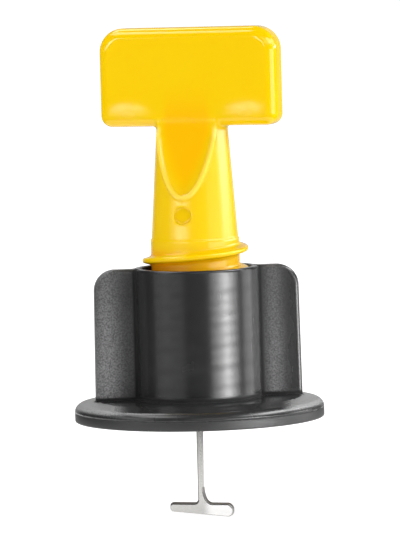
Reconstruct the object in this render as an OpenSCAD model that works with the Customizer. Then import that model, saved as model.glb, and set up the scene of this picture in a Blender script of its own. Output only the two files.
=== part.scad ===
// Reusable tile levelling clip. A steel T-needle is moulded into a threaded handle.
// A winged cap screws along the handle and draws the needle's foot up under the tiles,
// while a pad ring under the cap lies still on their face.
// Z is 0 on the tile face and the finger plate lies along X.

/* [Handle] */
// Width of the finger plate
plate_w = 35.2; // [28:0.2:44]
// Height of the finger plate
plate_h = 18.9; // [15:0.1:26]
// Thickness of the finger plate
plate_t = 7; // [6:0.1:9]
// Radius of the plate's upper corners
plate_top_r = 4.6; // [3:0.1:7]
// Radius of the plate's lower corners
plate_low_r = 2.2; // [2.1:0.1:4]
// Rounding of the plate's edges
plate_edge_r = 2; // [1:0.1:2]
// Length of the tapered stem between the thread and the plate
stem_h = 21.5; // [18:0.1:32]
// Stem diameter just under the plate
stem_top_d = 13.6; // [11:0.1:15]
// Stem diameter just above the thread
stem_low_d = 16.6; // [16.2:0.1:16.8]
// Height of the scoop's lip above the foot of the stem
scoop_lift = 8.1; // [7:0.1:11]
// Radius that blends the scoop into the plate's face
scoop_blend_r = 12; // [6:0.5:16]
// Diameter of the round core mark under each scoop
mark_d = 3.4; // [2:0.1:5]
// Depth of the core mark
mark_depth = 1.1; // [0.6:0.1:2]
// Height of the core mark above the foot of the stem
mark_lift = 4.6; // [4.2:0.1:5.8]

/* [Thread] */
// Axial step of one turn
pitch = 4.1; // [3.4:0.1:5]
// Diameter of the threaded shank between the ridges
shank_d = 17; // [17:0.1:18]
// Height of the thread's ridge above the shank
ridge_h = 1.7; // [1.2:0.1:2]
// Width of the ridge at its crest
ridge_crest_w = 0.8; // [0.7:0.1:1.1]
// Slope of the ridge's flanks
flank_angle = 16; // [10:1:18]
// Radial clearance between handle and cap
thread_clear_r = 0.45; // [0.35:0.05:0.8]
// Axial clearance under the carrying flank
thread_clear_z = 0.3; // [0.25:0.05:0.4]
// Length of shank that stands out of the cap
shank_out = 5.6; // [3:0.1:8]
// Height of the shank's end above the tile
shank_lift = 7; // [5:0.1:10]
// Width of the hollow in the shank's end
hollow_d = 12; // [10:0.1:13]
// Depth of the hollow in the shank's end
hollow_depth = 14; // [6:0.5:20]

/* [Cap] */
// Height of the cap's rim above the tile
cap_h = 29.2; // [25:0.1:40]
// Thickness of the cap's wall
cap_wall = 1.35; // [1.1:0.05:2.2]
// Diameter of the flange and of the pad ring
flange_d = 48; // [46:0.5:60]
// Height of the flange's upper face above the tile
flange_top = 3.4; // [3.2:0.1:5]
// Rounding of the flange's shoulder
shoulder_r = 1.5; // [0.6:0.1:1.5]
// Diameter of the low plinth under the wings, across its top
plinth_d = 39.2; // [36:0.1:42]
// Width of the slope from the plinth down to the flange
plinth_run = 1.8; // [0.6:0.1:2.4]
// Height of the plinth above the flange
plinth_h = 0.7; // [0.4:0.1:1.5]
// Span over both wings at the rim
wing_span = 39.4; // [32:0.1:42]
// How much wider each wing is at its foot
wing_draft = 0.35; // [0:0.05:0.8]
// Thickness of a wing
wing_t = 3.2; // [2.4:0.1:5]
// Radius of the wings' upper outer corners
wing_corner_r = 4; // [2:0.1:5]
// Radius of the blend between a wing and the cap's wall
wing_root_r = 0.6; // [0.5:0.1:2]
// Angle of the wings to the finger plate, as the cap stands on its thread
wing_turn = 24.5; // [0:0.5:90]

/* [Pad ring] */
// Height of the pad ring
ring_h = 1.8; // [1.4:0.1:2]
// Width of the ring's collar wall
collar_wall = 1.6; // [1.2:0.1:2.2]
// Height of the collar above the ring
collar_h = 1.1; // [1:0.1:1.4]
// Height of the snap bead on the collar
bead_h = 0.3; // [0.2:0.05:0.35]
// Running clearance between ring and cap
ring_clear = 0.15; // [0.1:0.05:0.25]

/* [Needle] */
// Thickness of the steel strip
needle_t = 1.2; // [0.8:0.1:2]
// Width of the needle's shank
needle_w = 1.05; // [0.8:0.05:2]
// Depth of the foot's upper edge below the tile face
foot_drop = 16.4; // [10:0.1:25]
// Length of the foot
foot_w = 12.8; // [9:0.1:16]
// Height of the foot
foot_h = 2.8; // [1.8:0.1:4]
// Rounding of the foot's ends
foot_r = 1; // [0.4:0.1:1.2]
// Radius of the blends between shank and foot
gusset_r = 1.5; // [0.6:0.1:2.5]
// Width of the needle's head inside the handle
head_w = 4.6; // [3.6:0.1:6]
// Length of head on each side of its eye
head_reach = 3.2; // [2.4:0.1:4]
// Diameter of the eye in the needle's head
eye_d = 2.2; // [1.6:0.1:2.6]

/* [Hidden] */

$fn = 96;
over = 0.5;                 // overlap of joined shapes and overshoot of cuts
plate_fn = 32;              // sides of the plate's rounded corners
ridge_steps = 30;           // steps in one turn of the thread
fade_turn = 70;             // angle over which a ridge's end fades out
rim_r = 0.35;               // rounding of the cap's rim
plain_lip = 2;              // plain bore at each end of the cap's thread
sleeve_step = 0.1;          // how far the cap's threaded lining stands in from the plain bore
pilot_h = 0.8;              // plain pilot below the handle's thread
nib = 0.02;                 // least spacing of points at the ends of a threaded sleeve
thread_end_angle = 170;     // where the handle's ridge ends, round the back
boss_d = 5.6;               // boss round the needle inside the hollow
web_t = 1.4;                // webs between that boss and the shank's wall
blend_sink = 0.1;           // how deep the scoop's blend runs under the plate's face
blend_bite = 0.06;          // how far the scoop's slope cuts into its blend
slope_run = 1.5;            // length of the scoop's slope, counted in its own length up to the lip
lining_share = 0.67;        // share of the cap's wall that its threaded lining reaches into
ring_edge = 0.25;           // chamfer of the pad ring's outer edges
collar_step = 0.2;          // how far the ring's hole stands back from the cap's bore
blend_overrun = 0.08;       // how far a wing's root blend runs into the cap's wall
wing_edge_r = 0.7;          // rounding of a wing's outer edges

shank_r = shank_d / 2;
crest_r = shank_r + ridge_h;
bore_r = crest_r + thread_clear_r;
nut_crest_r = shank_r + thread_clear_r;
body_r = bore_r + cap_wall;
mouth_r = bore_r + sleeve_step;
flange_r = flange_d / 2;
stem_z = cap_h + shank_out;
plate_z = stem_z + stem_h;
plinth_z = flange_top + plinth_h;
plinth_foot_r = min(plinth_d / 2 + plinth_run, flange_r - shoulder_r);
cap_base = ring_h;
nut_low = plinth_z + plain_lip;
nut_high = cap_h - plain_lip;
collar_in_r = bore_r + collar_step;
collar_r = collar_in_r + collar_wall;
pocket_r = collar_r + ring_clear;
mark_z = stem_z + mark_lift;
stem_taper = (stem_low_d - stem_top_d) / 2 / stem_h;
thread_top_z = stem_z - ridge_crest_w / 2;

// Both ridges have the same flank angle, so the carrying flanks lie parallel.
flank_w = 2 * (ridge_h - thread_clear_r) * tan(flank_angle);
nut_shift = (2 * ridge_crest_w + flank_w) / 2 + thread_clear_z;

// Radius of the stem at a height above the tile
function stem_r(z) = stem_low_d / 2 - stem_taper * (z - stem_z);

// Height of the handle's ridge at an angle counted back from its upper end
function ridge_z(angle) = thread_top_z + pitch * (angle - thread_end_angle) / 360;

// Angle at which the ridge passes a height
function ridge_angle(z) = thread_end_angle + 360 * (z - thread_top_z) / pitch;

// A square corner to be cut off, leaving a quarter round of radius r about the origin
module corner_cut(r) {
    difference() {
        square(r + over);
        circle(r);
    }
}

// Sleeve with a helical ridge on its face, closed off by a plain back inside the wall it joins.
// The ridge runs from one angle to another and fades into the face at both ends.
// Each column of points climbs the face, crossing the ridge once in every turn.
module threaded_sleeve(face_r, tip_r, back_r, low, high, from, to, shift) {
    outward = tip_r > face_r;
    root_w = ridge_crest_w + 2 * abs(tip_r - face_r) * tan(flank_angle);
    first = 360 * floor(from / 360);
    last_column = ridge_steps - 1;
    last_turn = ceil((to - first - 360 * last_column / ridge_steps) / 360);
    size = 4 * (last_turn + 1) + 2;
    back = size * ridge_steps;

    function angle_at(j, m) = first + 360 * (m + j / ridge_steps);
    function rise_at(a) = max(0, min(1, (a - from) / fade_turn, (to - a) / fade_turn));
    function crossing(a, r) = [[face_r, -root_w / 2], [r, -ridge_crest_w / 2],
        [r, ridge_crest_w / 2], [face_r, root_w / 2]];
    function held(z, k) = min(max(z, low + k * nib), high - (size - 1 - k) * nib);
    function on_circle(r, j, z) = [r * cos(360 * j / ridge_steps), r * sin(360 * j / ridge_steps), z];
    function column(j) = concat(
        [on_circle(face_r, j, low)],
        [for (m = [0 : last_turn])
            let (a = angle_at(j, m), points = crossing(a, face_r + (tip_r - face_r) * rise_at(a)))
            for (k = [0 : 3])
                on_circle(points[k][0], j, held(ridge_z(a) + shift + points[k][1], 4 * m + k + 1))],
        [on_circle(face_r, j, high)]);
    function next(j) = (j + 1) % ridge_steps;
    function strip(a, b, count) = [for (k = [0 : count - 1])
        each [[a + k, b + k, b + k + 1], [a + k, b + k + 1, a + k + 1]]];
    function fan(tip, edge, count) = [for (k = [0 : count - 1]) [tip, edge + k, edge + k + 1]];

    points = concat(
        [for (j = [0 : last_column]) each column(j)],
        [for (j = [0 : last_column]) each [on_circle(back_r, j, low), on_circle(back_r, j, high)]]);
    face = [for (j = [0 : last_column - 1]) each strip(j * size, (j + 1) * size, size - 1)];
    // At the seam each crossing meets the one a turn higher, so the two odd ends are fanned.
    seam_column = last_column * size;
    seam = concat(
        fan(seam_column, 0, 4),
        strip(seam_column, 4, size - 5),
        [for (k = [size - 5 : size - 2]) [seam_column + k, size - 1, seam_column + k + 1]]);
    plain = [for (j = [0 : last_column])
        let (a = back + 2 * j, b = back + 2 * next(j))
        each [[a, a + 1, b + 1], [a, b + 1, b]]];
    rims = [for (j = [0 : last_column])
        let (a = j * size, b = next(j) * size, c = back + 2 * j, d = back + 2 * next(j))
        each [[a, c, d], [a, d, b], [a + size - 1, b + size - 1, d + 1], [a + size - 1, d + 1, c + 1]]];
    faces = concat(face, seam, plain, rims);
    polyhedron(points, outward ? [for (f = faces) [f[0], f[2], f[1]]] : faces);
}

// One corner of the finger plate, rounded in its outline and along its edges
module plate_corner(x, z, r) {
    translate([x, 0, z])
        rotate([90, 0, 0])
            for (side = [-1, 1])
                translate([0, 0, side * (plate_t / 2 - plate_edge_r)])
                    rotate_extrude($fn = plate_fn)
                        intersection() {
                            translate([r - plate_edge_r, 0])
                                circle(plate_edge_r, $fn = plate_fn);
                            translate([0, -plate_edge_r])
                                square([r, 2 * plate_edge_r]);
                        }
}

module finger_plate() {
    top_x = plate_w / 2 - plate_top_r;
    low_x = plate_w / 2 - plate_low_r;
    hull()
        for (side = [-1, 1]) {
            plate_corner(side * top_x, plate_z + plate_h - plate_top_r, plate_top_r);
            plate_corner(side * low_x, plate_z + plate_low_r, plate_low_r);
        }
}

// The scoop's cutter in the plane across the plate: a round that meets the plate's face,
// and a slope that runs out through the stem at the scoop's lip.
// The slope bites a little into the round, because two surfaces that only touch don't join cleanly.
module scoop_section() {
    face = plate_t / 2 - blend_sink;
    centre = [face + scoop_blend_r, plate_z + plate_edge_r];
    lip = [stem_r(stem_z + scoop_lift), stem_z + scoop_lift];
    near_r = scoop_blend_r - blend_bite;
    to_lip = lip - centre;
    meet_angle = atan2(to_lip[1], to_lip[0]) - acos(near_r / norm(to_lip));
    meet = centre + near_r * [cos(meet_angle), sin(meet_angle)];
    tail = meet + slope_run * (lip - meet);
    back = centre[0] + scoop_blend_r;
    translate(centre)
        circle(scoop_blend_r);
    polygon([meet, tail, [back, tail[1]], [back, centre[1]], centre]);
}

module stem() {
    low = stem_z - over;
    top = plate_z + plate_edge_r;
    difference() {
        translate([0, 0, low])
            cylinder(h = top - low, r1 = stem_r(low), r2 = stem_r(top));
        for (turn = [0, 180])
            rotate([0, 0, turn])
                rotate([90, 0, 90])
                    translate([0, 0, -stem_low_d])
                        linear_extrude(2 * stem_low_d)
                            scoop_section();
        for (side = [-1, 1])
            translate([0, side * (stem_r(mark_z) - mark_depth), mark_z])
                rotate([-90 * side, 0, 0])
                    cylinder(h = stem_low_d, d = mark_d);
    }
}

// Plain core with the threaded sleeve round it, and a short pilot below the thread
module shank() {
    translate([0, 0, shank_lift])
        cylinder(h = stem_z - over / 2 - shank_lift, r = shank_r - over);
    threaded_sleeve(shank_r, crest_r, shank_r - 2 * over, shank_lift + pilot_h, stem_z,
        ridge_angle(shank_lift + pilot_h + ridge_h), thread_end_angle, 0);
}

// Hollow in the shank's end, crossed by webs that carry the needle's boss
module shank_hollow() {
    translate([0, 0, shank_lift - over])
        difference() {
            cylinder(h = hollow_depth + over, d = hollow_d);
            cylinder(h = hollow_depth + over, d = boss_d);
            for (turn = [45, 135])
                rotate([0, 0, turn])
                    translate([-hollow_d, -web_t / 2, 0])
                        cube([2 * hollow_d, web_t, hollow_depth + over]);
        }
}

module needle_outline() {
    half_w = needle_w / 2;
    translate([-half_w, -foot_drop - over])
        square([needle_w, mark_z + foot_drop]);
    translate([-head_w / 2, mark_z - head_reach])
        square([head_w, 2 * head_reach]);
    translate([-foot_w / 2 + foot_r, -foot_drop - foot_h])
        square([foot_w - 2 * foot_r, foot_h]);
    translate([-foot_w / 2, -foot_drop - foot_h + foot_r])
        square([foot_w, foot_h - 2 * foot_r]);
    for (x = [-1, 1])
        for (z = [foot_r, foot_h - foot_r])
            translate([x * (foot_w / 2 - foot_r), -foot_drop - foot_h + z])
                circle(foot_r);
    for (side = [0, 1])
        mirror([side, 0])
            translate([half_w, -foot_drop])
                difference() {
                    translate([-half_w, -over])
                        square([gusset_r + half_w, gusset_r + over]);
                    translate([gusset_r, gusset_r])
                        circle(gusset_r);
                }
}

module needle_solid() {
    rotate([90, 0, 0])
        translate([0, 0, -needle_t / 2])
            linear_extrude(needle_t)
                difference() {
                    needle_outline();
                    translate([0, mark_z])
                        circle(d = eye_d);
                }
}

module handle() {
    color("gold")
        difference() {
            union() {
                finger_plate();
                stem();
                shank();
            }
            shank_hollow();
            needle_solid();
        }
}

module needle() {
    color("lightsteelblue")
        needle_solid();
}

// Half section of the turned shape: wall, plinth, flange and the pocket for the ring's collar
module cap_section() {
    difference() {
        union() {
            translate([mouth_r, cap_base])
                square([body_r - mouth_r, cap_h - cap_base]);
            polygon([[mouth_r, cap_base], [plinth_foot_r, cap_base], [plinth_foot_r, flange_top],
                [plinth_d / 2, plinth_z], [mouth_r, plinth_z]]);
            translate([mouth_r, cap_base])
                square([flange_r - mouth_r, flange_top - cap_base]);
        }
        translate([flange_r - shoulder_r, flange_top - shoulder_r])
            corner_cut(shoulder_r);
        translate([body_r - rim_r, cap_h - rim_r])
            corner_cut(rim_r);
        translate([bore_r - over, cap_base - over])
            square([pocket_r - bore_r + over, collar_h + ring_clear + over]);
        translate([pocket_r, cap_base + collar_h / 2])
            circle(bead_h);
    }
}

// Plan of one wing, with rounded outer edges and blends that run into the wall
module wing_plan() {
    reach = wing_span / 2 + wing_draft;
    root = body_r - blend_overrun;
    blend_x = sqrt(pow(root + wing_root_r, 2) - pow(wing_t / 2 + wing_root_r, 2));
    translate([bore_r + cap_wall / 2, -wing_t / 2])
        square([reach - wing_edge_r - bore_r - cap_wall / 2, wing_t]);
    translate([bore_r + cap_wall / 2, -wing_t / 2 + wing_edge_r])
        square([reach - bore_r - cap_wall / 2, wing_t - 2 * wing_edge_r]);
    for (side = [0, 1])
        mirror([0, side]) {
            translate([reach - wing_edge_r, wing_t / 2 - wing_edge_r])
                circle(wing_edge_r);
            difference() {
                polygon([[bore_r + cap_wall / 2, 0], [blend_x, 0], [blend_x, wing_t / 2 + wing_root_r],
                    [body_r - cap_wall / 2, wing_t / 2 + wing_root_r]]);
                translate([blend_x, wing_t / 2 + wing_root_r])
                    circle(wing_root_r);
            }
        }
}

// Side view of one wing: a drafted outer edge with a rounded upper corner
module wing_side() {
    top = wing_span / 2;
    difference() {
        polygon([[bore_r, flange_top - over], [top + wing_draft, flange_top - over],
            [top, cap_h - wing_corner_r], [top, cap_h], [bore_r, cap_h]]);
        translate([top - wing_corner_r, cap_h - wing_corner_r])
            corner_cut(wing_corner_r);
    }
}

module wing() {
    intersection() {
        translate([0, 0, flange_top - over])
            linear_extrude(cap_h)
                wing_plan();
        rotate([90, 0, 0])
            translate([0, 0, -wing_span / 2])
                linear_extrude(wing_span)
                    wing_side();
    }
}

module cap() {
    color("dimgray")
        union() {
            rotate_extrude()
                cap_section();
            for (turn = [0, 180])
                rotate([0, 0, wing_turn + turn])
                    wing();
            threaded_sleeve(bore_r, nut_crest_r, bore_r + lining_share * cap_wall, nut_low, nut_high,
                ridge_angle(nut_low + nut_shift + ridge_h),
                ridge_angle(nut_high + nut_shift - ridge_h), -nut_shift);
        }
}

module base_ring() {
    color("black")
        rotate_extrude()
            difference() {
                union() {
                    translate([collar_in_r, 0])
                        square([flange_r - collar_in_r, ring_h]);
                    translate([collar_in_r, 0])
                        square([collar_wall, ring_h + collar_h]);
                    translate([collar_r, cap_base + collar_h / 2])
                        circle(bead_h);
                }
                for (z = [0, ring_h])
                    translate([flange_r, z])
                        rotate(45)
                            square(ring_edge * sqrt(2), center = true);
            }
}

base_ring();
cap();
handle();
needle();
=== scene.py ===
import math

import bpy
import numpy as np
from mathutils import Matrix, Vector


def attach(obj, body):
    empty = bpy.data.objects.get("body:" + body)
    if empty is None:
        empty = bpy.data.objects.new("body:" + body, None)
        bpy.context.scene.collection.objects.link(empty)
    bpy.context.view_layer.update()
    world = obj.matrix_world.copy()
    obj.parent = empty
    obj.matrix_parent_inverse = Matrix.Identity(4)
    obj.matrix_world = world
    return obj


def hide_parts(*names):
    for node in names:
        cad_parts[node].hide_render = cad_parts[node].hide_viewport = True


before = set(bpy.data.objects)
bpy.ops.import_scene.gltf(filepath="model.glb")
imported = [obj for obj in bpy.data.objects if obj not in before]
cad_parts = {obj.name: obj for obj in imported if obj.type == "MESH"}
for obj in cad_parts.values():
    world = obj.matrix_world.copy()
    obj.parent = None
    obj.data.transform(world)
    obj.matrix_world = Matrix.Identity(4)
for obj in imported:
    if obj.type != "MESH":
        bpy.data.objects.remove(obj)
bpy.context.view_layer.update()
print("frame loaded:", sorted(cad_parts))

millimetre = 0.001


# shapes are written as distance fields in millimetres, negative inside

def roundUnion(a, b, r):
    corner = np.hypot(np.maximum(r - a, 0), np.maximum(r - b, 0))
    return np.maximum(r, np.minimum(a, b)) - corner


def roundBoth(a, b, r):
    corner = np.hypot(np.maximum(r + a, 0), np.maximum(r + b, 0))
    return np.minimum(-r, np.maximum(a, b)) + corner


def slab(value, low, high):
    return np.maximum(low - value, value - high)


def smoothStep(value):
    t = np.clip(value, 0, 1)
    return t * t * (3 - 2 * t)


def roundedBox(x, z, halfWide, halfHigh, corner):
    qx = np.abs(x) - halfWide + corner
    qz = np.abs(z) - halfHigh + corner
    outer = np.hypot(np.maximum(qx, 0), np.maximum(qz, 0))
    return np.minimum(np.maximum(qx, qz), 0) + outer - corner


threadSpec = {
    "pitch": 4.1,
    "coreRadius": 8.5,
    "ridgeHigh": 1.7,
    "crestWide": 0.8,
    "flankAngle": 16,
    "endAngle": 170,      # where the handle's ridge runs out, round the back
    "endHigh": 34.4,
    "fadeAngle": 70,
    "gapRadial": 0.45,
    "gapAxial": 0.3,
    "edgeRound": 0.28,
    "sunk": 0.5,          # how deep the ridge's ends run into the face
}


def ridgeAngle(z):
    return threadSpec["endAngle"] + 360 * (z - threadSpec["endHigh"]) / threadSpec["pitch"]


def ridgeHeight(angle):
    return threadSpec["endHigh"] + threadSpec["pitch"] * (angle - threadSpec["endAngle"]) / 360


# a helical ridge on a face of the given radius: side 1 stands outwards, -1 inwards
def ridgeField(x, y, z, faceRadius, side, startAngle, endAngle, shift):
    t = threadSpec
    turn = np.degrees(np.arctan2(y, x))
    lap = np.round((ridgeAngle(z - shift) - turn) / 360)
    angle = turn + 360 * lap
    rise = np.minimum((angle - startAngle) / t["fadeAngle"], (endAngle - angle) / t["fadeAngle"])
    crest = (t["ridgeHigh"] + t["sunk"]) * smoothStep(rise) - t["sunk"]
    over = side * (np.hypot(x, y) - faceRadius) - crest
    away = np.abs(z - ridgeHeight(angle) - shift)
    slope = math.radians(t["flankAngle"])
    flank = (away - t["crestWide"] / 2 + over * math.tan(slope)) * math.cos(slope)
    return roundBoth(flank, over, t["edgeRound"])


def fieldSlope(field, points, reach=0.02):
    slopes = []
    for axis in range(3):
        ahead, behind = points.copy(), points.copy()
        ahead[:, axis] += reach
        behind[:, axis] -= reach
        slopes.append((field(*ahead.T) - field(*behind.T)) / (2 * reach))
    return np.stack(slopes, 1)


def fieldNormals(field, points, reach=0.02):
    slopes = fieldSlope(field, points, reach)
    return slopes / np.maximum(np.linalg.norm(slopes, axis=1), 1e-6)[:, None]


# each cell's point goes where the planes through its crossings meet, which keeps edges crisp
def cornerFit(field, owners, places, count, step):
    steady, furthest = 0.08, 0.7 * step    # holds points on flat cells still, and all points near their cell
    hits = np.bincount(owners, minlength=count)
    middle = np.stack([np.bincount(owners, places[:, k], count) for k in range(3)], 1) / hits[:, None]
    normals = fieldNormals(field, places)
    lift = (normals * (places - middle[owners])).sum(1)
    matrix, aim = np.zeros((count, 3, 3)), np.zeros((count, 3))
    for i in range(3):
        aim[:, i] = np.bincount(owners, normals[:, i] * lift, count)
        for j in range(3):
            matrix[:, i, j] = np.bincount(owners, normals[:, i] * normals[:, j], count)
    matrix += steady * np.eye(3)
    move = np.linalg.solve(matrix, aim[:, :, None])[:, :, 0]
    return middle + np.clip(move, -furthest, furthest)


# quads over the zero level of a field, with every point pulled onto it
def fieldMesh(name, field, low, high, step):
    low = np.array(low, float)
    counts = [int((h - l) / step) + 2 for l, h in zip(low, high)]
    axes = [l + step * np.arange(n) for l, n in zip(low, counts)]
    values = field(*np.meshgrid(*axes, indexing="ij"))
    solid = values < 0
    sx, sy, sz = (n - 1 for n in counts)
    filled = np.zeros((sx, sy, sz), np.int8)
    for i in (0, 1):
        for j in (0, 1):
            for k in (0, 1):
                filled += solid[i:i + sx, j:j + sy, k:k + sz]
    active = (filled > 0) & (filled < 8)
    cells = np.argwhere(active)
    index = np.full(active.shape, -1)
    index[active] = np.arange(len(cells))
    owners, places = [], []
    for axis in range(3):
        u, v = (axis + 1) % 3, (axis + 2) % 3
        for du in (0, 1):
            for dv in (0, 1):
                near = cells.copy()
                near[:, u] += du
                near[:, v] += dv
                far = near.copy()
                far[:, axis] += 1
                a, b = values[tuple(near.T)], values[tuple(far.T)]
                crossed = np.flatnonzero((a < 0) != (b < 0))
                point = near[crossed].astype(float)
                point[:, axis] += a[crossed] / (a[crossed] - b[crossed])
                owners.append(crossed)
                places.append(low + step * point)
    owners, places = np.concatenate(owners), np.concatenate(places)
    points = cornerFit(field, owners, places, len(cells), step)
    leastSteep = 0.25
    for pull in range(3):
        slope = fieldSlope(field, points)
        steep = np.maximum((slope ** 2).sum(1), leastSteep)
        move = np.clip(field(*points.T) / steep, -step / 2, step / 2)
        points -= move[:, None] * slope
    quads = []
    for axis in range(3):
        u, v = (axis + 1) % 3, (axis + 2) % 3
        size = list(solid.shape)
        size[axis] -= 1
        first = solid[tuple(slice(0, n) for n in size)]
        second = np.roll(solid, -1, axis)[tuple(slice(0, n) for n in size)]
        edges = np.argwhere(first != second)
        ring = []
        for du, dv in ((-1, -1), (0, -1), (0, 0), (-1, 0)):
            cell = edges.copy()
            cell[:, u] += du
            cell[:, v] += dv
            ring.append(index[tuple(cell.T)])
        ring = np.stack(ring, 1)
        outwards = first[tuple(edges.T)]
        quads.append(np.where(outwards[:, None], ring, ring[:, ::-1]))
    piece = makePiece(name, points, np.concatenate(quads).tolist())
    normals = fieldNormals(field, points, step / 2)    # smoother than the normals of the quads
    piece.data.normals_split_custom_set_from_vertices(normals.tolist())
    return piece


def makePiece(name, points, faces):
    mesh = bpy.data.meshes.new(name)
    mesh.from_pydata((np.asarray(points) * millimetre).tolist(), [], faces)
    mesh.validate()
    mesh.shade_smooth()
    piece = bpy.data.objects.new(name, mesh)
    bpy.context.scene.collection.objects.link(piece)
    print("made", name, len(mesh.vertices), "points,", len(mesh.polygons), "faces")
    return piece


# the handle

handleSpec = {
    "plateWide": 35.2,
    "plateHigh": 18.9,
    "plateThick": 7.0,
    "plateFoot": 56.3,
    "topCorner": 4.6,
    "lowCorner": 2.2,
    "plateEdge": 2.0,
    "plateFillet": 0.7,
    "stemFoot": 34.8,
    "stemFootRadius": 8.3,
    "stemTopRadius": 6.8,
    "stemHigh": 21.5,
    "stepRound": 0.3,
    "stemSunk": (0.5, 6),   # how far the stem runs into the shank and the plate
    "scoopLift": 8.1,
    "scoopBlend": 12.0,
    "scoopRise": 2.0,       # how far up the plate's face the scoop runs out
    "scoopClear": 3,        # past the stem's sides the scoop leaves the plate alone
    "scoopClearStart": 0.6,
    "scoopClearRun": 0.8,
    "scoopHollow": 0.42,    # extra depth inside the lip, which grows from below the plate
    "scoopHollowStart": 1.5,
    "scoopHollowRun": 8,
    "lipRound": 0.25,
    "lipBead": 0.45,        # bead that runs round the scoop's edge
    "lipBlend": 0.3,
    "lipLow": 5,
    "lipTop": 1.5,
    "beadTop": 0.5,
    "lipFade": 3,
    "swell": 0.11,          # soft swellings low on the plate's face, left and right
    "swellPlace": (11.6, 2.4),
    "swellSize": (3.4, 1.7),
    "markRadius": 1.7,
    "markDeep": 0.66,
    "markLift": 4.6,
    "markEdge": 0.12,
    "shankFoot": 7.0,
    "threadFoot": 7.8,
    "ridgeSunk": 0.5,       # how far the ridge runs up into the stem
    "ridgeBlend": 0.4,
    "shankBlend": 0.12,
    "hollowRadius": 6.0,
    "hollowDeep": 14.0,
    "bossRadius": 2.8,
    "webHalf": 0.7,
    "webRound": 0.3,
    "hollowRound": 0.25,
}


def stemRadius(z):
    s = handleSpec
    narrowing = (s["stemFootRadius"] - s["stemTopRadius"]) / s["stemHigh"]
    return s["stemFootRadius"] - narrowing * (z - s["stemFoot"])


def swellShape(x, z):
    s = handleSpec
    sideways = (np.abs(x) - s["swellPlace"][0]) / s["swellSize"][0]
    upwards = (z - s["plateFoot"] - s["swellPlace"][1]) / s["swellSize"][1]
    return np.exp(-sideways ** 2 - upwards ** 2)


def plateField(x, y, z):
    s = handleSpec
    middle = s["plateFoot"] + s["plateHigh"] / 2
    corner = np.where(z > middle, s["topCorner"], s["lowCorner"])
    outline = roundedBox(x, z - middle, s["plateWide"] / 2, s["plateHigh"] / 2, corner)
    face = np.abs(y) - s["plateThick"] / 2 - s["swell"] * swellShape(x, z)
    return roundBoth(outline, face, s["plateEdge"])


# the scoop across the plate: straight down from the plate's face, a round, and a slope out to the lip
def scoopFields(x, y, z):
    s = handleSpec
    face = s["plateThick"] / 2
    centre = (face + s["scoopBlend"], s["plateFoot"] + s["scoopRise"])
    lipHigh = s["stemFoot"] + s["scoopLift"]
    lip = (stemRadius(lipHigh), lipHigh)
    reach = math.hypot(lip[0] - centre[0], lip[1] - centre[1])
    angle = math.atan2(lip[1] - centre[1], lip[0] - centre[0]) - math.acos(s["scoopBlend"] / reach)
    normal = (math.cos(angle), math.sin(angle))
    along = (-normal[1], normal[0])

    def section(py, pz):
        roundPart = np.hypot(py, pz) - s["scoopBlend"]
        slopePart = py * normal[0] + pz * normal[1] - s["scoopBlend"]
        lower = np.where(py * along[0] + pz * along[1] > 0, slopePart, roundPart)
        return np.where(pz > 0, -py - s["scoopBlend"], lower)

    plain = section(np.abs(y) - centre[0], z - centre[1])
    # how far inside the lip a point lies, measured along the plate
    slopeDeep = lip[0] + (z - lipHigh) * normal[1] / -normal[0]
    lipHalf = np.sqrt(np.maximum(stemRadius(z) ** 2 - np.maximum(slopeDeep, face) ** 2, 0))
    inward = 1 - np.minimum(np.abs(x) / np.maximum(lipHalf, 0.01), 1) ** 2
    started = smoothStep((s["plateFoot"] - s["scoopHollowStart"] - z) / s["scoopHollowRun"])
    deeper = s["scoopHollow"] * inward ** 2 * started
    hollowed = section(np.abs(y) + deeper - centre[0], z - centre[1])
    return plain, hollowed, normal


stemTaper = math.atan((handleSpec["stemFootRadius"] - handleSpec["stemTopRadius"]) / handleSpec["stemHigh"])


def stemCone(x, y, z):
    return (np.hypot(x, y) - stemRadius(z)) * math.cos(stemTaper)


# distance from the line where stem and scoop meet, which cross at a flat angle
def lipDistance(x, y, z, plain, normal):
    cone = stemCone(x, y, z)
    frontShare = -np.abs(y) / np.maximum(np.hypot(x, y), 0.1)
    facing = frontShare * math.cos(stemTaper) * normal[0] - math.sin(stemTaper) * normal[1]
    facing = np.clip(facing, -0.99, 0.99)
    return np.sqrt(np.maximum(cone ** 2 + plain ** 2 + 2 * cone * plain * facing, 0) / (1 - facing ** 2))


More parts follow.
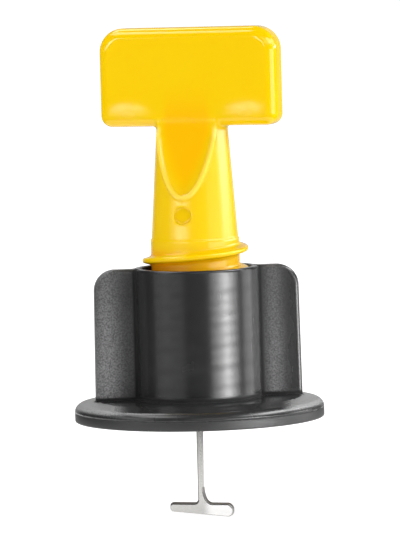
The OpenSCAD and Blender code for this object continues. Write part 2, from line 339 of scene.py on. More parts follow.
def handleField(x, y, z):
    s = handleSpec
    radius = np.hypot(x, y)
    cone = stemCone(x, y, z)
    stem = np.maximum(cone, slab(z, s["stemFoot"] - s["stemSunk"][0], s["plateFoot"] + s["stemSunk"][1]))
    shape = roundUnion(plateField(x, y, z), stem, s["plateFillet"])
    plain, hollowed, normal = scoopFields(x, y, z)
    past = np.abs(x) - s["stemTopRadius"] - s["scoopClearStart"]
    clear = s["scoopClear"] * smoothStep(past / s["scoopClearRun"])
    sharp = s["lipRound"] * smoothStep((s["plateFoot"] + s["lipTop"] - z) / s["lipFade"])
    shape = roundBoth(shape, -hollowed - clear, sharp)
    apart = lipDistance(x, y, z, plain, normal)
    beadTop = s["plateFoot"] + s["beadTop"]
    thick = s["lipBead"] * smoothStep((beadTop - z) / s["lipFade"])
    bead = np.maximum(apart - thick, slab(z, s["stemFoot"] + s["lipLow"], beadTop))
    shape = roundUnion(shape, bead, s["lipBlend"])
    markHigh = s["stemFoot"] + s["markLift"]
    mark = np.maximum(np.hypot(x, z - markHigh) - s["markRadius"],
                      stemRadius(markHigh) - s["markDeep"] - np.abs(y))
    shape = roundBoth(shape, -mark, s["markEdge"])

    core = roundBoth(radius - threadSpec["coreRadius"], slab(z, s["shankFoot"], s["stemFoot"]), s["stepRound"])
    ridgeStart = ridgeAngle(s["threadFoot"] + threadSpec["ridgeHigh"])
    ridge = ridgeField(x, y, z, threadSpec["coreRadius"], 1, ridgeStart, threadSpec["endAngle"], 0)
    ridge = np.maximum(ridge, slab(z, s["threadFoot"], s["stemFoot"] + s["ridgeSunk"]))
    shank = roundUnion(core, ridge, s["ridgeBlend"])
    shape = roundUnion(shape, shank, s["shankBlend"])

    u, v = (x + y) / math.sqrt(2), (x - y) / math.sqrt(2)
    inside = np.maximum(radius - s["hollowRadius"], z - s["shankFoot"] - s["hollowDeep"])
    kept = np.minimum(radius - s["bossRadius"], np.minimum(np.abs(u), np.abs(v)) - s["webHalf"])
    hollow = roundBoth(inside, -kept, s["webRound"])
    return roundBoth(shape, -hollow, s["hollowRound"])


handle = fieldMesh("handle_moulding", handleField, (-18, -11, 6.4), (18, 11, 75.9), 0.3)


def piecePoints(piece):
    points = np.empty(3 * len(piece.data.vertices))
    piece.data.vertices.foreach_get("co", points)
    return points.reshape(-1, 3).T / millimetre


def addMask(piece, name, mask):
    layer = piece.data.attributes.new(name, "FLOAT", "POINT")
    layer.data.foreach_set("value", mask)


# how strongly the handle's places are marked for its material
handleMarks = {
    "crestSharp": (1.8, 1.3),
    "crestTop": (0.6, 1.5),   # how far above the plate's foot a mark ends, and over what length it fades
    "skinTop": (1, 2),
    "skinDeep": (1.1, 0.6),
    "swellSatin": 1.8,
    "shankTop": (-1, 3.5),
    "shankSkin": (0.6, 0.4),
    "shankOrange": 0.6,       # light that bounces in the gap above the cap, more to the left
    "orangeSlope": 0.05,
    "orangeRange": (0.2, 1),
    "shadeDeep": (0.3, 1.5),
    "shadeTop": (9, 10),
    "shadeOrange": 0.42,      # painted shade in the scoop and low on the plate, orange like the thick plastic there
}


# marks a painted highlight along the lip's crest, the duller stem, and painted orange shade under the ridge and in the
# scoop
def markHandle(piece, spec, marks):
    x, y, z = piecePoints(piece)
    plain, hollowed, normal = scoopFields(x, y, z)
    cone = stemCone(x, y, z)

    # 1 below the limit, and falling to 0 there
    def under(value, limit, span):
        return smoothStep((limit + span[0] - value) / span[1])

    most, sharp = marks["crestSharp"]
    crest = smoothStep(most - sharp * lipDistance(x, y, z, plain, normal) / spec["lipBead"])
    crest *= under(z, spec["plateFoot"], marks["crestTop"]) * (z > spec["stemFoot"] + spec["lipLow"])
    # the lip's crest is painted paler: a painted highlight
    addMask(piece, "paintedLipHighlight", crest)
    skin = under(z, spec["plateFoot"], marks["skinTop"]) * under(np.abs(cone), 0, marks["skinDeep"])
    skin *= np.hypot(x, z - spec["stemFoot"] - spec["markLift"]) > spec["markRadius"] - 0.1
    addMask(piece, "satin", np.maximum(skin, marks["swellSatin"] * swellShape(x, z)))
    shank = under(z, spec["stemFoot"], marks["shankTop"])
    shank *= under(np.hypot(x, y), threadSpec["coreRadius"], marks["shankSkin"])
    shank *= np.clip(marks["shankOrange"] - marks["orangeSlope"] * x, *marks["orangeRange"])
    thick = smoothStep((-cone - marks["shadeDeep"][0]) / marks["shadeDeep"][1])
    thick *= under(z, spec["plateFoot"], marks["shadeTop"]) * (z > spec["stemFoot"] + spec["scoopLift"])
    # painted shade: orange under the ridge and in the scoop's hollow
    addMask(piece, "paintedShade", np.maximum(shank, marks["shadeOrange"] * thick))


markHandle(handle, handleSpec, handleMarks)


# the winged cap

capSpec = {
    "rimHigh": 29.2,
    "foot": 1.8,
    "boreRadius": 10.65,
    "bodyRadius": 12.0,
    "flangeRadius": 24.0,
    "flangeTop": 3.4,
    "shoulder": 1.5,
    "plinthRadius": 19.6,
    "plinthRun": 1.8,
    "plinthTop": 4.1,
    "plinthRound": 0.5,
    "plinthBlend": 0.8,
    "footBlend": 0.12,
    "wingReach": 19.7,
    "wingDraft": 0.35,
    "wingHalf": 1.6,
    "wingCorner": 4.0,
    "wingEdge": 0.7,
    "wingRoot": 0.3,
    "wingTurn": 24.5,
    "rimRound": 0.4,
    "ripple": 0.026,         # faint sink marks over the thread inside
    "rippleLow": 5,
    "rippleFade": 3,
    "boreRound": 0.3,
    "threadLow": 6.1,
    "threadHigh": 27.2,
    "threadSunk": 0.6,
    "threadBlend": 0.3,
    "pocketRadius": 12.6,
    "pocketTop": 3.05,
    "pocketRound": 0.2,
    "lowerEdge": 0.05,
}


def capField(x, y, z):
    s, t = capSpec, threadSpec
    radius = np.hypot(x, y)
    turn = np.arctan2(y, x) / (2 * math.pi)
    wave = np.cos(2 * math.pi * (z / t["pitch"] - turn))
    wave = wave * smoothStep((z - s["rippleLow"]) / s["rippleFade"]) * smoothStep((s["rimHigh"] - z) / s["rippleFade"])
    wall = roundBoth(radius - s["bodyRadius"] - s["ripple"] * wave, z - s["rimHigh"], s["rimRound"])

    angle = math.radians(s["wingTurn"])
    u = x * math.cos(angle) + y * math.sin(angle)
    v = y * math.cos(angle) - x * math.sin(angle)
    draft = s["wingDraft"] * (s["rimHigh"] - z) / s["rimHigh"]
    wing = roundBoth(np.abs(u) - s["wingReach"] - draft, z - s["rimHigh"], s["wingCorner"])
    wing = roundBoth(wing, np.abs(v) - s["wingHalf"], s["wingEdge"])
    shape = roundUnion(wall, wing, s["wingRoot"])

    drop = s["plinthTop"] - s["flangeTop"]
    slope = (radius - s["plinthRadius"]) * drop + (z - s["plinthTop"]) * s["plinthRun"]
    plinth = roundBoth(slope / math.hypot(drop, s["plinthRun"]), z - s["plinthTop"], s["plinthRound"])
    plinth = np.maximum(plinth, radius - s["flangeRadius"] + s["shoulder"])
    flange = roundBoth(radius - s["flangeRadius"], z - s["flangeTop"], s["shoulder"])
    turned = roundUnion(plinth, flange, s["plinthBlend"])
    shape = roundUnion(shape, turned, s["footBlend"])
    shape = roundBoth(shape, s["foot"] - z, s["lowerEdge"])

    shape = roundBoth(shape, s["boreRadius"] - radius, s["boreRound"])
    flankRun = (t["ridgeHigh"] - t["gapRadial"]) * math.tan(math.radians(t["flankAngle"]))
    shift = -(t["crestWide"] + flankRun + t["gapAxial"])
    ridge = ridgeField(x, y, z, s["boreRadius"], -1,
                       ridgeAngle(s["threadLow"] - shift + t["ridgeHigh"]),
                       ridgeAngle(s["threadHigh"] - shift - t["ridgeHigh"]), shift)
    ridge = np.maximum(ridge, slab(z, s["threadLow"], s["threadHigh"]))
    ridge = np.maximum(ridge, radius - s["boreRadius"] - s["threadSunk"])
    shape = roundUnion(shape, ridge, s["threadBlend"])
    pocket = np.maximum(radius - s["pocketRadius"], z - s["pocketTop"])
    return roundBoth(shape, -pocket, s["pocketRound"])


cap = fieldMesh("winged_cap_moulding", capField, (-24.6, -24.6, 1.4), (24.6, 24.6, 29.8), 0.33)


# how strongly a painted sheen lightens the wings' faces and the flange's ends, along the radius or sideways
wingMarks = {
    "leftLeast": 0.26,
    "leftGain": 0.74,
    "leftRise": (13.6, 4.5),    # start and run
    "leftDrop": 0.4,
    "leftFall": (18.2, 1.5),
    "rightLeast": 0.04,
    "rightGain": 0.7,
    "rightBand": (14.7, 1.9),   # middle and half width
    "sideTurn": 17,             # the painted sheen on the flange's ends lies across this direction
    "endGain": 1.7,
    "leftEnd": (13, 5),
    "rightEnd": (15, 4),
    "shadeWide": 0.5,
}


# marks the grained faces of the wings with a painted sheen, also on the flange's ends, and painted shade in the
# corners round the wings and at the wall's foot, for the material
def markWings(piece, spec, marks):
    x, y, z = piecePoints(piece)
    angle = math.radians(spec["wingTurn"])
    radius = np.hypot(x, y)
    along = x * math.cos(angle) + y * math.sin(angle)
    across = np.abs(y * math.cos(angle) - x * math.sin(angle))

    def ramp(value, span):
        return smoothStep((value - span[0]) / span[1])

    face = smoothStep((radius - spec["bodyRadius"] - 0.4) / 0.6)
    face *= smoothStep((z - spec["plinthTop"]) / 0.5) * (across < spec["wingHalf"] + 0.1)
    falling = 1 - marks["leftDrop"] * ramp(radius, marks["leftFall"])
    left = marks["leftLeast"] + marks["leftGain"] * ramp(radius, marks["leftRise"]) * falling
    bandMiddle, bandHalf = marks["rightBand"]
    right = marks["rightLeast"] + marks["rightGain"] * np.exp(-((radius - bandMiddle) / bandHalf) ** 2)
    turn = math.radians(marks["sideTurn"])
    sideways = x * math.cos(turn) + y * math.sin(turn)
    ends = marks["endGain"] * (ramp(-sideways, marks["leftEnd"]) + ramp(sideways, marks["rightEnd"]))
    ends *= (radius > spec["plinthRadius"]) * smoothStep((z - spec["flangeTop"] + 1) / 0.6) * (z < spec["plinthTop"])
    # painted sheen: the wings' faces and the flange's ends are paler
    addMask(piece, "grainAndPaintedSheen", np.maximum(face * np.where(along < 0, left, right), ends))

    over = np.abs(z - spec["plinthTop"])
    root = np.hypot(radius - spec["bodyRadius"], across - spec["wingHalf"])
    wallFoot = np.hypot(radius - spec["bodyRadius"], over)
    pastWing = 9 * (radius > spec["wingReach"] + 0.4)
    wingFoot = np.hypot(np.maximum(across - spec["wingHalf"], 0), over) + pastWing
    nearest = np.minimum(np.minimum(root, wallFoot), wingFoot)
    # painted shade: darker along the wings' roots and the wall's foot
    addMask(piece, "paintedShade", smoothStep(1.7 - nearest / marks["shadeWide"]) * (radius > spec["bodyRadius"] - 0.5))


markWings(cap, capSpec, wingMarks)


# the pad ring, turned from its section

ringSpec = {
    "outerRadius": 24.0,
    "innerRadius": 10.85,
    "collarRadius": 12.45,
    "high": 1.8,
    "collarTop": 2.9,
    "bead": 0.3,
    "edge": 0.25,
    "seam": 0.07,           # fine edge under the flange
    "collarFoot": 0.05,
    "collarEdge": 0.1,
    "segments": 240,
}


def lathe(name, section, segments):
    angles = 2 * math.pi * np.arange(segments) / segments
    count = len(section)
    points = [(r * math.cos(a), r * math.sin(a), z) for a in angles for r, z in section]
    faces = []
    for i in range(segments):
        near, far = i * count, (i + 1) % segments * count
        for k in range(count):
            following = (k + 1) % count
            faces.append((near + k, far + k, far + following, near + following))
    return makePiece(name, points, faces)


def arcPoints(centre, radius, start, end, steps):
    angles = [math.radians(start + (end - start) * i / steps) for i in range(steps + 1)]
    return [(centre[0] + radius * math.cos(a), centre[1] + radius * math.sin(a)) for a in angles]


def ringSection():
    s = ringSpec
    e = s["edge"]
    beadHigh = (s["high"] + s["collarTop"]) / 2
    points = arcPoints((s["innerRadius"] + e, e), e, 180, 270, 4)
    points += arcPoints((s["outerRadius"] - e, e), e, 270, 360, 5)
    points += arcPoints((s["outerRadius"] - s["seam"], s["high"] - s["seam"]), s["seam"], 0, 90, 3)
    points += [(s["collarRadius"] + s["collarFoot"], s["high"]), (s["collarRadius"], s["high"] + s["collarFoot"])]
    points += arcPoints((s["collarRadius"], beadHigh), s["bead"], -90, 90, 6)
    c = s["collarEdge"]
    points += [(s["collarRadius"], s["collarTop"] - c), (s["collarRadius"] - c, s["collarTop"])]
    points += [(s["innerRadius"] + c, s["collarTop"]), (s["innerRadius"], s["collarTop"] - c)]
    return points


ring = lathe("pad_ring", ringSection(), ringSpec["segments"])


# the steel needle

needleSpec = {
    "halfWide": 0.525,
    "halfThick": 0.6,
    "footDrop": 16.4,
    "footHalf": 6.4,
    "footHigh": 2.3,        # at the shank; higher to the right and lower to the left
    "footTaper": 0.5,
    "rightCorner": 1.3,
    "leftCorner": 0.7,
    "gusset": 0.7,
    "wideGusset": 0.9,      # the right side flares out where it meets the foot
    "wideGussetHigh": 3.0,
    "headHalf": 2.3,
    "headReach": 3.2,
    "headHigh": 39.4,
    "headCorner": 0.3,
    "eyeRadius": 1.1,
    "edge": 0.45,
    "stouter": 0.2,         # the free shank bulges a little to the left
    "freeStart": (-0.6, 1.5),
    "shankSunk": 0.5,       # how far the shank runs into the foot
}


def needleOutline(x, z):
    s = needleSpec
    low = np.clip((s["wideGussetHigh"] - s["footDrop"] - z) / s["wideGussetHigh"], 0, 1)
    free = smoothStep((s["freeStart"][0] - z) / s["freeStart"][1])
    rightEdge = x - s["halfWide"] - s["wideGusset"] * low ** 2
    leftEdge = -x - s["halfWide"] - s["stouter"] * free
    shank = np.maximum(np.maximum(rightEdge, leftEdge), slab(z, -s["footDrop"] - s["shankSunk"], s["headHigh"]))
    high = s["footHigh"] + s["footTaper"] * x / s["footHalf"]
    across = np.abs(z + s["footDrop"] + high / 2) - high / 2
    foot = roundBoth(np.abs(x) - s["footHalf"], across, np.where(x > 0, s["rightCorner"], s["leftCorner"]))
    outline = roundUnion(shank, foot, s["gusset"])
    head = roundedBox(x, z - s["headHigh"], s["headHalf"], s["headReach"], s["headCorner"])
    outline = np.minimum(outline, head)
    return np.maximum(outline, s["eyeRadius"] - np.hypot(x, z - s["headHigh"]))


def needleField(x, y, z):
    return roundBoth(needleOutline(x, z), np.abs(y) - needleSpec["halfThick"], needleSpec["edge"])


needle = fieldMesh("steel_needle", needleField, (-6.7, -0.9, -19.5), (6.7, 0.9, 43.0), 0.13)


needleMarks = {
    "shearWide": 0.3,
    "shearFade": 0.2,
    "leftShadeWide": 0.1,
    "leftShadeFade": 0.1,
    "leftShadeLow": 0.6,
    "glintStart": 0.2,
    "glintRun": 2.2,
    "glintTop": 0.3,
}


# marks the sheared edges, a painted dark reflection along the shank's left edge and a painted highlight on the right
# half of the foot
def markNeedle(piece, spec, marks):
    x, y, z = piecePoints(piece)
    low = z < spec["wideGussetHigh"] - spec["footDrop"]
    free = (z > -spec["footDrop"] + marks["leftShadeLow"]) & (z < 0)
    addMask(piece, "sheared", smoothStep((needleOutline(x, z) + marks["shearWide"]) / marks["shearFade"]) * low)
    # painted dark reflection along the shank's left edge
    leftShadeBand = smoothStep((-x - spec["halfWide"] + marks["leftShadeWide"]) / marks["leftShadeFade"])
    addMask(piece, "leftEdgeShade", leftShadeBand * free)
    # painted highlight: the foot's right half is lighter
    footGlint = smoothStep((x - marks["glintStart"]) / marks["glintRun"])
    addMask(piece, "footHighlight", footGlint * smoothStep((-spec["footDrop"] - z) / marks["glintTop"]))


markNeedle(needle, needleSpec, needleMarks)


# materials

def addNode(tree, kind, **settings):
    node = tree.nodes.new(kind)
    for key, value in settings.items():
        setattr(node, key, value)
    return node


# a socket takes a link from another socket, or a value of its own
def feed(tree, socket, source):
    if isinstance(source, bpy.types.NodeSocket):
        tree.links.new(source, socket)
    else:
        socket.default_value = source


def addNoise(tree, vector, scale, detail):
    noise = addNode(tree, "ShaderNodeTexNoise")
    for label, source in (("Vector", vector), ("Scale", scale), ("Detail", detail)):
        feed(tree, noise.inputs[label], source)
    return noise.outputs["Fac"]


def addStretch(tree, vector, scale, rotation=(0, 0, 0)):
    stretch = addNode(tree, "ShaderNodeMapping")
    for label, source in (("Vector", vector), ("Rotation", rotation), ("Scale", scale)):
        feed(tree, stretch.inputs[label], source)
    return stretch.outputs["Vector"]


def addRange(tree, value, low, high, toLow=0, toHigh=1, **settings):
    ramp = addNode(tree, "ShaderNodeMapRange", **settings)
    labels = ("Value", "From Min", "From Max", "To Min", "To Max")
    for label, source in zip(labels, (value, low, high, toLow, toHigh)):
        feed(tree, ramp.inputs[label], source)
    return ramp.outputs["Result"]


def addMath(tree, operation, *sources, clamp=False):
    node = addNode(tree, "ShaderNodeMath", operation=operation, use_clamp=clamp)
    for socket, source in zip(node.inputs, sources):
        feed(tree, socket, source)
    return node.outputs["Value"]


def addMix(tree, factor, first, second):
    mix = addNode(tree, "ShaderNodeMix", data_type="RGBA")
    for label, source in (("Factor", factor), ("A", first), ("B", second)):
        feed(tree, mix.inputs[label], source)
    return mix.outputs["Result"]


def addUpwards(tree, vector):
    split = addNode(tree, "ShaderNodeSeparateXYZ")
    tree.links.new(vector, split.inputs["Vector"])
    return split.outputs["Z"]


def readMask(tree, name):
    return addNode(tree, "ShaderNodeAttribute", attribute_name=name).outputs["Fac"]


def newMaterial(name):
    material = bpy.data.materials.new(name)
    material.use_nodes = True
    return material, material.node_tree, material.node_tree.nodes["Principled BSDF"]


# what all plastics share
plasticSpec = {
    "grainDetail": 2,
    "mottleDetail": 3,
    "scuffDetail": 4,
    "scuffStretch": (1, 14, 1.4),
    "scuffTurn": (0.5, 0.3, 0.8),
    "scuffRange": (0.62, 0.74),
    "levelRange": (0.8, 0.98),      # how upright a normal is on level tops
    "zoneHeights": (26, 4),         # the painted paleness of the zone changes between these
    "speckRange": (0.35, 0.65),
    "subsurfaceRadius": (1.0, 0.4, 0.02),
    "subsurfaceScale": 2,
}

# what each plastic sets on the shared group, and the group's names for it
plasticInputs = {
    "grainScale": "Grain Scale",
    "mottleScale": "Mottle Scale",
    "scuffScale": "Scuff Scale",
    "deepColour": "Deep Colour",
    "paleColour": "Pale Colour",
    "roughLow": "Rough Low",
    "roughHigh": "Rough High",
    "scuffRough": "Scuff Rough",
    "zoneRough": "Zone Rough",
    "paintedShadeRough": "Painted Shade Rough",
    "satinRough": "Satin Rough",
    "levelRough": "Level Rough",
    "zoneColour": "Zone Colour",
    "zonePaleHigh": "Zone Pale High",
    "zonePaleLow": "Zone Pale Low",
    "zoneSpeck": "Zone Speck",
    "zoneGrain": "Zone Grain",
    "paintedShadeColour": "Painted Shade Colour",
}


def newGroup(name, inputs, outputs):
    group = bpy.data.node_groups.new(name, "ShaderNodeTree")
    for side, labels in (("INPUT", inputs), ("OUTPUT", outputs)):
        for label in labels:
            kind = "NodeSocketColor" if label.endswith("Colour") else "NodeSocketFloat"
            group.interface.new_socket(label, in_out=side, socket_type=kind)
    return group, group.nodes.new("NodeGroupInput"), group.nodes.new("NodeGroupOutput")


# moulded plastic with fine grain, slow mottling and faint scuffs, all in object space, and with the
# places that the pieces are marked with: a zone of painted highlight and sheen, painted shade, satin skin and level
# tops
def makePlasticGroup(spec):
    group, entry, leave = newGroup("mouldedPlastic", [*plasticInputs.values(), "Zone"],
                                   ["Mixed Colour", "Roughness", "Height"])
    given = entry.outputs
    place = addNode(group, "ShaderNodeTexCoord").outputs
    grain = addNoise(group, place["Object"], given["Grain Scale"], spec["grainDetail"])
    mottle = addNoise(group, place["Object"], given["Mottle Scale"], spec["mottleDetail"])
    smeared = addStretch(group, place["Object"], spec["scuffStretch"], spec["scuffTurn"])
    scuff = addNoise(group, smeared, given["Scuff Scale"], spec["scuffDetail"])
    scuff = addRange(group, scuff, *spec["scuffRange"])
    paintedShade, satin = readMask(group, "paintedShade"), readMask(group, "satin")
    level = addRange(group, addUpwards(group, place["Normal"]), *spec["levelRange"], interpolation_type="SMOOTHSTEP")
    rough = addRange(group, mottle, 0, 1, given["Rough Low"], given["Rough High"])
    for source, label in ((scuff, "Scuff Rough"), (given["Zone"], "Zone Rough"), (paintedShade, "Painted Shade Rough"),
                          (satin, "Satin Rough"), (level, "Level Rough")):
        rough = addMath(group, "MULTIPLY_ADD", source, given[label], rough, clamp=True)
    # the marked zone is painted paler, as a painted sheen and highlight: on the wings most of all near their foot,
    # along the lip's crest all along
    high, low = (height * millimetre for height in spec["zoneHeights"])
    lift = addUpwards(group, place["Object"])
    foot = addRange(group, lift, high, low, given["Zone Pale High"], given["Zone Pale Low"])
    share = addRange(group, grain, *spec["speckRange"], given["Zone Speck"])
    for source in (foot, given["Zone"]):
        share = addMath(group, "MULTIPLY", share, source)
    tone = addMix(group, mottle, given["Deep Colour"], given["Pale Colour"])
    pale = addMix(group, share, tone, given["Zone Colour"])
    # painted shade: darker on the cap, orange on the handle, where the shade mask is set
    colour = addMix(group, paintedShade, pale, given["Painted Shade Colour"])
    coarse = addMath(group, "MULTIPLY_ADD", given["Zone"], given["Zone Grain"], 1)
    height = addMath(group, "MULTIPLY", grain, coarse)
    for source, label in ((colour, "Mixed Colour"), (rough, "Roughness"), (height, "Height")):
        group.links.new(source, leave.inputs[label])
    return group


plasticGroup = makePlasticGroup(plasticSpec)


def makePlastic(name, look):
    material, tree, shader = newMaterial(name)
    surface = addNode(tree, "ShaderNodeGroup", node_tree=plasticGroup)
    for key, label in plasticInputs.items():
        surface.inputs[label].default_value = (*look[key], 1) if label.endswith("Colour") else look[key]
    tree.links.new(readMask(tree, look["zone"]), surface.inputs["Zone"])
    bump = addNode(tree, "ShaderNodeBump")
    bump.inputs["Strength"].default_value = look["grainStrength"]
    bump.inputs["Distance"].default_value = look["grainDeep"] * millimetre
    tree.links.new(surface.outputs["Mixed Colour"], shader.inputs["Base Color"])
    tree.links.new(surface.outputs["Roughness"], shader.inputs["Roughness"])
    tree.links.new(surface.outputs["Height"], bump.inputs["Height"])
    tree.links.new(bump.outputs["Normal"], shader.inputs["Normal"])
    shader.inputs["IOR"].default_value = look["ior"]
    shader.inputs["Subsurface Weight"].default_value = look["subsurface"]
    shader.inputs["Subsurface Radius"].default_value = plasticSpec["subsurfaceRadius"]
    shader.inputs["Subsurface Scale"].default_value = plasticSpec["subsurfaceScale"] * millimetre
    return material


# the zone colour is a painted highlight along the lip, the shade colour a painted orange shade
yellowLook = {
    "deepColour": (0.75, 0.488, 0.0003),
    "paleColour": (0.775, 0.505, 0.0005),
    "grainScale": 2500, "mottleScale": 90, "scuffScale": 240,
    "roughLow": 0.06, "roughHigh": 0.09, "scuffRough": 0.02,
    "zone": "paintedLipHighlight", "zoneColour": (1.0, 0.8, 0.2), "zonePaleHigh": 0.48, "zonePaleLow": 0.48, "zoneSpeck": 1,
    "zoneRough": 0.05, "levelRough": 0, "zoneGrain": 0,
    "paintedShadeRough": 0, "paintedShadeColour": (0.85, 0.3, 0.0005), "satinRough": 0.13,
    "grainStrength": 0.1, "grainDeep": 0.02,
    "ior": 1.46, "subsurface": 0.15,
}

# the zone colour is a painted sheen on the wings and the flange's ends, the shade colour a painted shade in their
# corners
capLook = {
    "deepColour": (0.013, 0.013, 0.0133),
    "paleColour": (0.019, 0.019, 0.0194),
    "grainScale": 3200, "mottleScale": 140, "scuffScale": 260,
    "roughLow": 0.22, "roughHigh": 0.3, "scuffRough": 0.015,
    "zone": "grainAndPaintedSheen", "zoneColour": (0.24, 0.24, 0.242), "zonePaleHigh": 0.45, "zonePaleLow": 1.0, "zoneSpeck": 0.3,
    "zoneRough": 0.16, "levelRough": -0.16, "zoneGrain": 6,
    "paintedShadeRough": 0.6, "paintedShadeColour": (0.004, 0.004, 0.004), "satinRough": 0,
    "grainStrength": 0.2, "grainDeep": 0.02,
    "ior": 1.5, "subsurface": 0.0,
}

padLook = dict(
    capLook,
    deepColour=(0.018, 0.018, 0.0185),
    paleColour=(0.026, 0.026, 0.0265),
    roughLow=0.38, roughHigh=0.48,
)

yellowPlastic = makePlastic("yellowMoulding", yellowLook)
blackPlastic = makePlastic("blackMoulding", capLook)
padPlastic = makePlastic("padMoulding", padLook)


steelLook = {
    "deepColour": (0.52, 0.515, 0.50),
    "paleColour": (0.66, 0.655, 0.64),
    "glintColour": (0.98, 0.98, 0.975),
    "edgeColour": (0.5, 0.495, 0.48),
    "leftShadeColour": (0.2, 0.19, 0.165),
    "roughness": (0.16, 0.26), "edgeRough": 0.4,
    "edgeSkin": 0.6, "leftShadeSkin": 1,    # how much of the bare metal the dull sheared edges and the painted dark edge hide
    "drawnScale": 900, "drawnStretch": (6, 6, 0.5),
}


def makeSteel(name, look):
    material, tree, shader = newMaterial(name)
    place = addNode(tree, "ShaderNodeTexCoord").outputs["Object"]
    drawn = addNoise(tree, addStretch(tree, place, look["drawnStretch"]), look["drawnScale"], 3)
    colour = addMix(tree, drawn, (*look["deepColour"], 1), (*look["paleColour"], 1))
    # painted highlight on the foot's right half, painted dark reflection along the shank's left edge
    footHighlight, sheared, leftEdgeShade = (readMask(tree, mask) for mask in ("footHighlight", "sheared", "leftEdgeShade"))
    for mask, shade in ((footHighlight, "glintColour"), (sheared, "edgeColour"), (leftEdgeShade, "leftShadeColour")):
        colour = addMix(tree, mask, colour, (*look[shade], 1))
    bare = addMath(tree, "MULTIPLY_ADD", sheared, -look["edgeSkin"], 1, clamp=True)
    bare = addMath(tree, "MULTIPLY_ADD", leftEdgeShade, -look["leftShadeSkin"], bare, clamp=True)
    rough = addRange(tree, drawn, 0, 1, *look["roughness"])
    rough = addMath(tree, "MULTIPLY_ADD", sheared, look["edgeRough"], rough, clamp=True)
    for source, label in ((colour, "Base Color"), (bare, "Metallic"), (rough, "Roughness")):
        tree.links.new(source, shader.inputs[label])
    return material


brightSteel = makeSteel("brightSteel", steelLook)

for piece, body, node, slot, material in (
        (handle, "t_handle", "handle", "handle", yellowPlastic),
        (cap, "winged_cap", "cap", "cap", blackPlastic),
        (ring, "pad", "base_ring", "pad", padPlastic),
        (needle, "t_handle", "needle", "needle", brightSteel)):
    piece.data.materials.append(material)
    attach(piece, body)
    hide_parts(node)
print("materials on", [p.name for p in (handle, cap, ring, needle)])


# the studio: pale floor, soft lights and the camera

studioSpec = {
    "floorHigh": -19.25,
    "floorHalf": 20000.0,
    "floorNear": 120.0,     # only this part of the floor shows in reflections
    "floorColour": (0.5, 0.5, 0.5),
    "floorRough": 0.9,
    "floorShine": 0.1,
    "floorGlow": 0.92,
    "worldStrength": 0.35,
    "mirrorFront": 0.05,    # what glossy surfaces see in front of the object and behind it
    "mirrorBack": 0.7,
    "mirrorEdge": (0.75, 0.95),
    "cameraAzimuth": 17.0,
    "cameraAway": 800.0,
    "cameraHigh": 87.5,
    "targetRight": 0.79,
    "targetHigh": 28.33,
    "cameraRoll": 1.55,
    "focalPixels": 4176.0,
    "imageLong": 542,
}

# panels of light: where each stands, seen from a point on the axis, its size in degrees, its glow,
# and the pieces that it lights
lightColumns = ("name", "azimuth", "elevation", "aim", "away", "wide", "tall", "glow", "on")
lightRows = (
    ("keyWide", 70, -5, 15, 1000, 54, 9, 7.5, "cap"),
    ("keyMiddle", 72, -5, 15, 1002, 30, 9, 9, "cap"),
    ("keyCore", 72, -5, 15, 1004, 10, 9, 16, "cap"),
    ("keyUpper", 60, 6.5, 42, 3000, 20, 5, 16, "cap"),
    ("rimLower", 125, -5, 15, 1000, 28, 9, 3.2, "cap"),
    ("rimUpper", 122, 6.5, 42, 3000, 28, 5, 9, "cap"),
    ("capLeft", -37, -5, 15, 1000, 60, 9, 1.4, "cap"),
    ("capLeftUpper", -42, 6.5, 42, 3000, 12, 5, 6, "cap"),
    ("stemLeftWide", -35.5, 5.5, 42, 3000, 33, 7, 2.2, "handle"),
    ("stemLeftMiddle", -28.5, 5.5, 42, 3002, 19, 7, 3.6, "handle"),
    ("stemLeftCore", -23.0, 5.5, 42, 3004, 8, 7, 5, "handle"),
    ("stemFrontWide", -4.5, 5.5, 42, 3000, 21, 7, 1.6, "handle"),
    ("stemFrontMiddle", -9.0, 5.5, 42, 3002, 12, 7, 2.6, "handle"),
    ("stemFrontCore", -12.0, 5.5, 42, 3004, 6, 7, 5, "handle"),
    ("stemRightWide", 125.5, 6, 42, 3000, 53, 8, 4.5, "handle"),
    ("stemRightMiddle", 120.5, 6, 42, 3002, 35, 8, 5, "handle"),
    ("handleKey", 70, 31, 30, 1000, 36, 22, 5, "handle"),
    ("handleRim", 110, 25, 30, 1000, 36, 22, 4, "handle"),
    ("collarKey", 78.0, -3, 42, 3000, 50, 9, 4, "handle"),
    ("frontLeft", -50, 25, 30, 1000, 36, 22, 2, "cap"),
    ("frontRight", 30, 25, 30, 1000, 36, 22, 1.2, "all"),
    ("topLeft", -40, 58, 20, 1000, 24, 22, 3.2, "all"),
    ("topFarLeft", -72, 58, 20, 1000, 40, 22, 2.8, "all"),
    ("topRight", 111, 44, 20, 1000, 36, 18, 12, "cap"),
    ("topRightFar", 80, 39, 20, 1000, 30, 14, 7, "cap"),
    ("topBack", 230, 58, 20, 1000, 24, 22, 4.5, "all"),
)
lightSpecs = [dict(zip(lightColumns, row)) for row in lightRows]


def direction(azimuth, elevation):
    a, e = math.radians(azimuth), math.radians(elevation)
    return Vector((math.sin(a) * math.cos(e), -math.cos(a) * math.cos(e), math.sin(e)))


def addLight(spec, lit):
    data = bpy.data.lights.new(spec["name"], "AREA")
    data.shape = "RECTANGLE"
    data.size, data.size_y = (2 * spec["away"] * millimetre * math.tan(math.radians(spec[side] / 2))
                              for side in ("wide", "tall"))
    data.energy = spec["glow"] * math.pi * data.size * data.size_y
    light = bpy.data.objects.new(spec["name"], data)
    bpy.context.scene.collection.objects.link(light)
    away = direction(spec["azimuth"], spec["elevation"])
    light.location = (away * spec["away"] + Vector((0, 0, spec["aim"]))) * millimetre
    light.rotation_euler = away.to_track_quat("Z", "Y").to_euler()
    light.visible_camera = False
    if spec["on"] != "all":
        light.light_linking.receiver_collection = lit[spec["on"]]


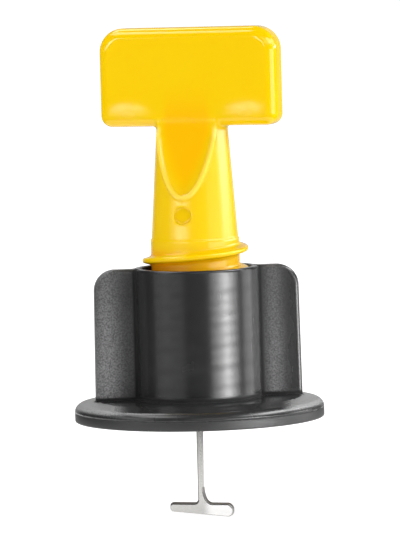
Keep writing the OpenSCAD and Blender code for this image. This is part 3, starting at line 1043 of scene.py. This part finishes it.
def lightGroup(name, pieces):
    group = bpy.data.collections.new(name)
    for piece in pieces:
        group.objects.link(piece)
    return group


def makeFloor(name, half, level, material):
    count = 48
    rim = [2 * math.pi * i / count for i in range(count)]
    points = [(half * math.cos(a), half * math.sin(a), level) for a in rim]
    floor = makePiece(name, points, [tuple(range(count))])
    floor.data.materials.append(material)
    return floor


def makeFloorMaterial(spec):
    material, tree, shader = newMaterial("paleFloor")
    for label, value in (("Base Color", (*spec["floorColour"], 1)),
                         ("Roughness", spec["floorRough"]),
                         ("Specular IOR Level", spec["floorShine"]),
                         ("Emission Color", (1, 1, 1, 1)),
                         ("Emission Strength", spec["floorGlow"])):
        shader.inputs[label].default_value = value
    return material


def makeWorld(spec):
    world = bpy.data.worlds.new("studioWorld")
    world.use_nodes = True
    tree = world.node_tree
    soft = tree.nodes["Background"]
    soft.inputs["Strength"].default_value = spec["worldStrength"]
    soft.inputs["Color"].default_value = (1, 1, 1, 1)
    mirror = addNode(tree, "ShaderNodeBackground")
    facing = addNode(tree, "ShaderNodeVectorMath", operation="DOT_PRODUCT")
    facing.inputs[1].default_value = -direction(spec["cameraAzimuth"], 0)
    tree.links.new(addNode(tree, "ShaderNodeTexCoord").outputs["Generated"], facing.inputs[0])
    ramp = addRange(tree, facing.outputs["Value"], *spec["mirrorEdge"], spec["mirrorFront"], spec["mirrorBack"],
                    interpolation_type="SMOOTHSTEP")
    tree.links.new(ramp, mirror.inputs["Strength"])
    mix = addNode(tree, "ShaderNodeMixShader")
    path = addNode(tree, "ShaderNodeLightPath")
    tree.links.new(path.outputs["Is Glossy Ray"], mix.inputs["Fac"])
    tree.links.new(soft.outputs["Background"], mix.inputs[1])
    tree.links.new(mirror.outputs["Background"], mix.inputs[2])
    tree.links.new(mix.outputs["Shader"], tree.nodes["World Output"].inputs["Surface"])
    bpy.context.scene.world = world


def makeCamera(spec):
    back = direction(spec["cameraAzimuth"], 0)
    right = Vector((0, 0, 1)).cross(back)
    place = back * spec["cameraAway"] + Vector((0, 0, spec["cameraHigh"]))
    target = right * spec["targetRight"] + Vector((0, 0, spec["targetHigh"]))
    look = (target - place).normalized()
    side = look.cross(Vector((0, 0, 1))).normalized()
    up = side.cross(look)
    roll = math.radians(spec["cameraRoll"])
    rolledSide = side * math.cos(roll) - up * math.sin(roll)
    rolledUp = side * math.sin(roll) + up * math.cos(roll)
    data = bpy.data.cameras.new("photoCamera")
    data.sensor_width = 36
    data.lens = spec["focalPixels"] * data.sensor_width / spec["imageLong"]
    data.clip_start, data.clip_end = 0.05, 100
    camera = bpy.data.objects.new("photoCamera", data)
    bpy.context.scene.collection.objects.link(camera)
    turn = Matrix((rolledSide, rolledUp, -look)).transposed().to_4x4()
    camera.matrix_world = Matrix.Translation(place * millimetre) @ turn
    bpy.context.scene.camera = camera


paleFloor = makeFloorMaterial(studioSpec)
makeFloor("studio_floor_near", studioSpec["floorNear"], studioSpec["floorHigh"], paleFloor)
farFloor = makeFloor("studio_floor", studioSpec["floorHalf"], studioSpec["floorHigh"] - 0.05, paleFloor)
farFloor.visible_glossy = False
farFloor.visible_shadow = False
litPieces = {"handle": lightGroup("handleLit", [handle]), "cap": lightGroup("capLit", [cap, ring])}
for spec in lightSpecs:
    addLight(spec, litPieces)
makeCamera(studioSpec)
makeWorld(studioSpec)
bpy.context.scene.view_settings.view_transform = "Standard"
print("studio ready")
